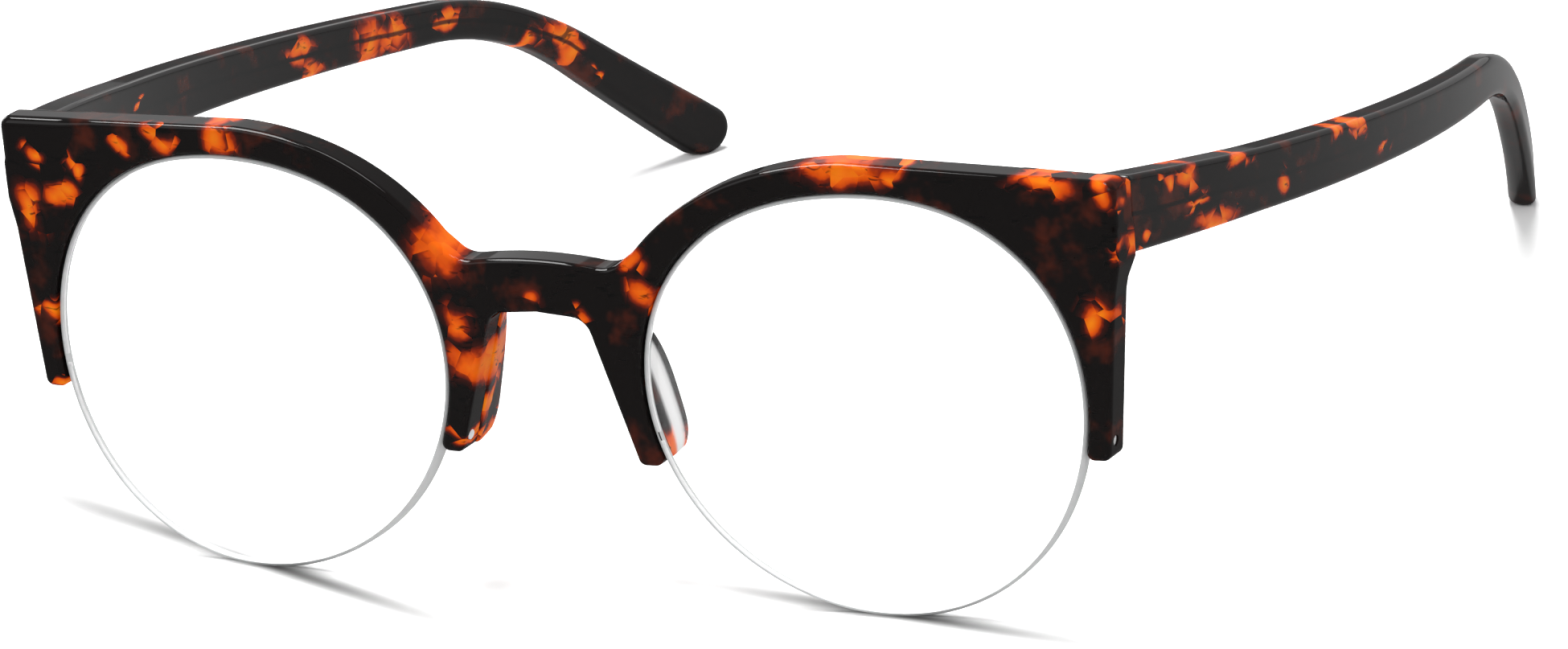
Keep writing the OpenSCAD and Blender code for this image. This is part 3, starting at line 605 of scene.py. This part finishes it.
run = np.concatenate([np.linspace(0, upright_length, 26)[:-1],
                      np.linspace(upright_length, temple_length - tip_radius, 180)])
tip_angle = temple_turn(np.array(temple_length)) + np.radians(np.linspace(-84, 84, 29))
tip_middle = temple_line(np.array([temple_length - tip_radius]))[0]
tip_arc = tip_middle + tip_radius * np.stack([np.cos(tip_angle), np.sin(tip_angle)], -1)
lower, upper = temple_edge(run, -1), temple_edge(run, 1)
temple_ring = filled_in(np.concatenate([
    eased((temple_y, temple_z), lower[0], lower[6], 0.45),
    lower[7:], tip_arc, upper[:6:-1],
    eased(upper[6], upper[0], (temple_y, temple_z), 0.45)]), 0.7)
tail = ((temple_ring[:, 0] - 70) / 50).clip(0, 1)
temple_round = np.where(temple_ring[:, 0] < 7.5, 0.32, 0.65 + 0.5 * tail)
temple_round = np.minimum(temple_round, 0.32 + 0.6 * (temple_ring[:, 0] - temple_y).clip(0, 5))
temple_points = np.stack(np.meshgrid(np.arange(8.5, 144, 1.2), np.arange(-22, 25, 1.2)), -1)
temple_points = temple_points.reshape(-1, 2)


def bow(p, radius, forward=0.0):
    """Sideways place of a temple face, as a depth from outside: -(c + sqrt(r^2 - (y - m)^2))."""
    return -(bow_middle[0] + np.sqrt(radius ** 2 - (p[:, 0] - bow_middle[1] - forward) ** 2))


left_patches = [
    (17.4, 21.3, 2.2, 1.2, 0), (13.6, 21.4, 0.7, 1.2, 0), (18.8, 18.2, 2.2, 0.7, 10),
    (21.8, 14.8, 3.6, 1.35, -8), (9.2, 16.2, 0.7, 0.6, 0), (27.2, 19.9, 1.9, 0.7, 0),
    (35.2, 15.4, 1.1, 1.2, 0), (48.9, 17.4, 1.3, 1.1, 0), (52.4, 17.6, 1.0, 0.8, 0),
    (54, 16.2, 1.8, 0.9, 0), (59.7, 12.1, 1.8, 0.7, 0)]
right_patches = [
    (72.3, 11.6, 2.8, 1.2, -8), (73.6, 8.6, 2.2, 1.2, 0), (86.2, 8.6, 2.5, 2.8, 0),
    (91, 8.2, 2.3, 2.4, 0), (100.6, 7.3, 2.4, 0.9, 0), (115.2, 0.9, 1.4, 1.0, 0),
    (120.2, 0.6, 2.8, 1.4, -35), (121.9, -2, 2.2, 1.4, -35), (32.3, 17.6, 1.0, 0.5, 0),
    (62.5, 8.6, 1.2, 0.5, 0), (125.1, -6.2, 0.6, 0.6, 0)]
flat, depth, faces = polished_plate(
    temple_ring, temple_round, lambda p: bow(p, bow_radius),
    lambda p: bow(p, bow_radius - temple_thick, inner_forward), temple_points)
line = temple_line(np.linspace(0, temple_length, wire_steps))
gap = np.linalg.norm(flat[:, None] - line[None], axis=2)
nearest = gap.argmin(1)
above = flat[:, 1] > line[nearest, 1]
past_wire = 9 * (nearest > wire_steps * wire_part)
off_wire = np.where(above, 1, -1) * gap.min(1) + past_wire
for side, patches, hand in ((1, left_patches, "left"), (-1, right_patches, "right")):
    c, s = math.cos(side * toe_in), math.sin(side * toe_in)
    x, y = -depth - hinge_x, flat[:, 0] - hinge_y
    points = np.stack([side * (hinge_x + x * c - y * s), hinge_y + x * s + y * c, flat[:, 1]], -1)
    temple_piece = piece("acetate_temple_" + hand, set_down(points), wound(faces, side),
                         acetate("tortoiseshell_temple_" + hand, patches, "temple", 0.42, wired=True))
    wire_mark = temple_piece.data.attributes.new("off_wire", "FLOAT", "POINT")
    wire_mark.data.foreach_set("value", off_wire)
    cut_points, cut_faces = drum(side * hinge_x, hinge_y, barrel_low, barrel_high, barrel_reach)
    milled_out(temple_piece, set_down(cut_points), cut_faces)
    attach(temple_piece, hand + "_temple")
    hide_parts("temple_" + hand)

# Lenses: clear ground plastic, a little curved, with a matt ground edge and a narrow bevel on both
# sides of it. They are pressed up into the rim's liner, and a nylon cord holds the lower half.
lens_inset, lens_deep, lens_bend, lens_bevel = 0.5, 2.1, 265.0, 0.42
lens_sag = lens_bend - math.sqrt(lens_bend ** 2 - lens_mean ** 2)


def lens_face(p):
    """Front face of a lens: inset - sag + b - sqrt(b^2 - r^2)."""
    return lens_inset - lens_sag + lens_bend - np.sqrt(lens_bend ** 2 - (p ** 2).sum(1))


clear, tree = bare_material("clear_lens")
clear_body = add_node(tree, "ShaderNodeBsdfPrincipled", Base_Color=(1, 1, 1, 1), Roughness=0.0,
                      IOR=1.5, Transmission_Weight=1.0)
clear_to_shadows(tree, clear_body, 0.97)

edge, tree = bare_material("lens_edge")
place = add_node(tree, "ShaderNodeTexCoord").outputs["Object"]
grind = add_node(tree, "ShaderNodeTexNoise", Vector=place, Scale=1500.0, Detail=2.0)
grind_rough = add_node(tree, "ShaderNodeMapRange", Value=grind.outputs["Fac"], To_Min=0.1, To_Max=0.3)
edge_body = add_node(tree, "ShaderNodeBsdfPrincipled", Base_Color=(0.66, 0.67, 0.67, 1),
                     Roughness=grind_rough.outputs[0], Specular_IOR_Level=0.0)
clear_to_shadows(tree, edge_body, 0.9)

lens_ring = lens_curve(0, 360, 1.5)[:-1]
lens_points = np.stack(np.meshgrid(np.arange(-26, 26, 1.6), np.arange(-26, 26, 1.6)), -1).reshape(-1, 2)
flat, depth, faces = polished_plate(lens_ring, lens_bevel, lens_face,
                                    lambda p: lens_face(p) + lens_deep, lens_points, 3)
ground = np.zeros(len(faces), int)
ground[len(lens_ring):8 * len(lens_ring)] = 1
for side, name in ((1, "lens_left"), (-1, "lens_right")):
    points = on_wing(flat[:, 0], depth, flat[:, 1]) * [side, 1, 1]
    lens_piece = piece("clear_" + name, set_down(points), wound(faces, side), clear)
    lens_piece.data.materials.append(edge)
    lens_piece.data.polygons.foreach_set("material_index", ground)
    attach(lens_piece, "front")
    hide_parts(name)

# Nose pads: two small wings of acetate, bonded behind the inner legs and polished into them. Their
# rear edges are rounded and splay outwards towards the feet.
pad_levels, pad_sides, pad_low, pad_high = 40, 60, -7.75, 7.8
pad_reach, pad_round, pad_splay = 6.4, 0.6, math.radians(12.8)


def pad_depth(z):
    """How far a pad stands out: reach sqrt(1 - |t|^p). Its deepest place has t = 0, its ends near 1."""
    t = np.where(z > -3, (z + 3) / 11.3, (z + 3) / -6.0)
    return pad_reach * np.sqrt(np.maximum(1 - np.abs(t) ** np.where(z > -3, 2.8, 4.0), 0))


z = np.linspace(pad_low, pad_high, pad_levels)
d, e = pad_depth(z), pad_round
leg_lean = (leg_root[0] - inner_foot[0]) / (leg_root[1] - inner_foot[1])
nose = (inner_foot[0] + leg_lean * (z - inner_foot[1]) - lens_x) / math.cos(wrap)
rear = (11.5 - z * math.tan(pad_splay) - lens_x) / math.cos(wrap) - 2 * e
n = nose + 0.3
f = n + (rear - n) * np.minimum(d / pad_reach, 1)
b = 2.7 * (0.55 + 0.45 * d / pad_reach)
knots_x = np.stack([nose + 0.03, nose + 0.03, n + b * 0.5, n + b, n + b, f + 2 * e + 0.1, f + 1.8 * e,
                    f + 1.2 * e, f + 0.5 * e, f + 0.02], 1)
knots_y = np.stack([0 * d, 0 * d - 0.7, 0 * d - 0.7, 0 * d - 0.7, 0 * d, d - 1.5 * e, d - 0.6 * e,
                    d - 0.02, d - 0.15 * e, d - e], 1)
pad_count = knots_x.shape[1]
fine = np.linspace(0, pad_count, pad_sides, endpoint=False)
low_knot, part = fine.astype(int), fine % 1


def closed_curve(values):
    """Cubic B-spline through a closed row of knots, as the four weights of the cubic times the knots."""
    w = np.stack([(1 - part) ** 3, 3 * part ** 3 - 6 * part ** 2 + 4,
                  -3 * part ** 3 + 3 * part ** 2 + 3 * part + 1, part ** 3]) / 6
    return sum(w[k] * values[:, (low_knot + k - 1) % pad_count] for k in range(4))


pad_x, pad_y = closed_curve(knots_x), closed_curve(knots_y) + front_deep
pad_z = np.repeat(z[:, None], pad_sides, 1)
pad_grid = np.stack([pad_x.ravel(), pad_y.ravel(), pad_z.ravel()], -1)
a = np.arange(pad_sides)
b = (a + 1) % pad_sides
pad_faces = np.concatenate([np.stack([a, a + pad_sides, b + pad_sides, b], -1) + r * pad_sides
                            for r in range(pad_levels - 1)]).tolist()
pad_faces += [a.tolist(), (a[::-1] + (pad_levels - 1) * pad_sides).tolist()]
# One side of each pad's outline gets a painted reflection: its colour turns pale grey where the white room
# would mirror.
painted_reflection = np.tile(np.interp(fine, [4.15, 4.35, 4.8, 4.98], [0, 1, 1, 0]), pad_levels)
pad_patches = [(-8.2, 1.9, 3.4, 2.2, 0), (-7.8, 6.4, 2.0, 1.6, 0), (-9.4, -3.4, 0.8, 2.4, 0),
               (-11, -7.2, 2.0, 0.8, 0), (13.2, -6.2, 1.2, 2.0, 0)]
pad_acetate = acetate("tortoiseshell_pads", pad_patches, "front", 0.2, painted_reflection=True)
for side, name in ((1, "nose_pad_left"), (-1, "nose_pad_right")):
    points = on_wing(*pad_grid.T) * [side, 1, 1]
    pad_piece = piece("acetate_" + name, set_down(points), wound(pad_faces, side), pad_acetate)
    reflection_mark = pad_piece.data.attributes.new("painted_reflection", "FLOAT", "POINT")
    reflection_mark.data.foreach_set("value", painted_reflection)
    pad_piece.data.set_sharp_from_angle(angle=math.radians(45))
    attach(pad_piece, "front")
    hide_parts(name)

# Cords and liners: clear nylon line in the lens grooves, knotted by a melted head in each foot, and
# a flat nylon strip in the rim's groove above the lens. These and the steel parts are the packed
# solids themselves, and only take their finish here.
nylon, tree = bare_material("clear_nylon")
place = add_node(tree, "ShaderNodeTexCoord").outputs["Object"]
haze = add_node(tree, "ShaderNodeTexNoise", Vector=place, Scale=900.0, Detail=2.0)
haze_colour = add_node(tree, "ShaderNodeMix", {"data_type": "RGBA"}, i0=haze.outputs["Fac"],
                       i6=(0.72, 0.72, 0.73, 1), i7=(0.9, 0.9, 0.9, 1))
nylon_body = add_node(tree, "ShaderNodeBsdfPrincipled", Base_Color=haze_colour.outputs[2], Roughness=0.3,
                      IOR=1.53, Specular_IOR_Level=0.3)
add_node(tree, "ShaderNodeOutputMaterial", Surface=nylon_body.outputs[0])

# Hinges, screws and core wires: nickel-plated steel, with fine turning marks round the barrels.
steel, tree = bare_material("plated_steel")
place = add_node(tree, "ShaderNodeTexCoord").outputs["Object"]
stretched = add_node(tree, "ShaderNodeMapping", Vector=place, Scale=(400.0, 400.0, 6000.0))
marks = add_node(tree, "ShaderNodeTexNoise", Vector=stretched.outputs[0], Scale=1.0, Detail=3.0)
mark_colour = add_node(tree, "ShaderNodeMix", {"data_type": "RGBA"}, i0=marks.outputs["Fac"],
                       i6=(0.42, 0.42, 0.43, 1), i7=(0.66, 0.66, 0.67, 1))
mark_rough = add_node(tree, "ShaderNodeMapRange", Value=marks.outputs["Fac"], To_Min=0.18, To_Max=0.4)
steel_body = add_node(tree, "ShaderNodeBsdfPrincipled", Base_Color=mark_colour.outputs[2], Metallic=1.0,
                      Roughness=mark_rough.outputs[0])
add_node(tree, "ShaderNodeOutputMaterial", Surface=steel_body.outputs[0])
for kind, finish in (("lens_cord", nylon), ("rim_liner", nylon), ("front_hinge", steel),
                     ("temple_hinge", steel), ("hinge_screw", steel), ("core_wire", steel)):
    for hand in ("left", "right"):
        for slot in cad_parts[f"{kind}_{hand}"].material_slots:
            slot.material = finish
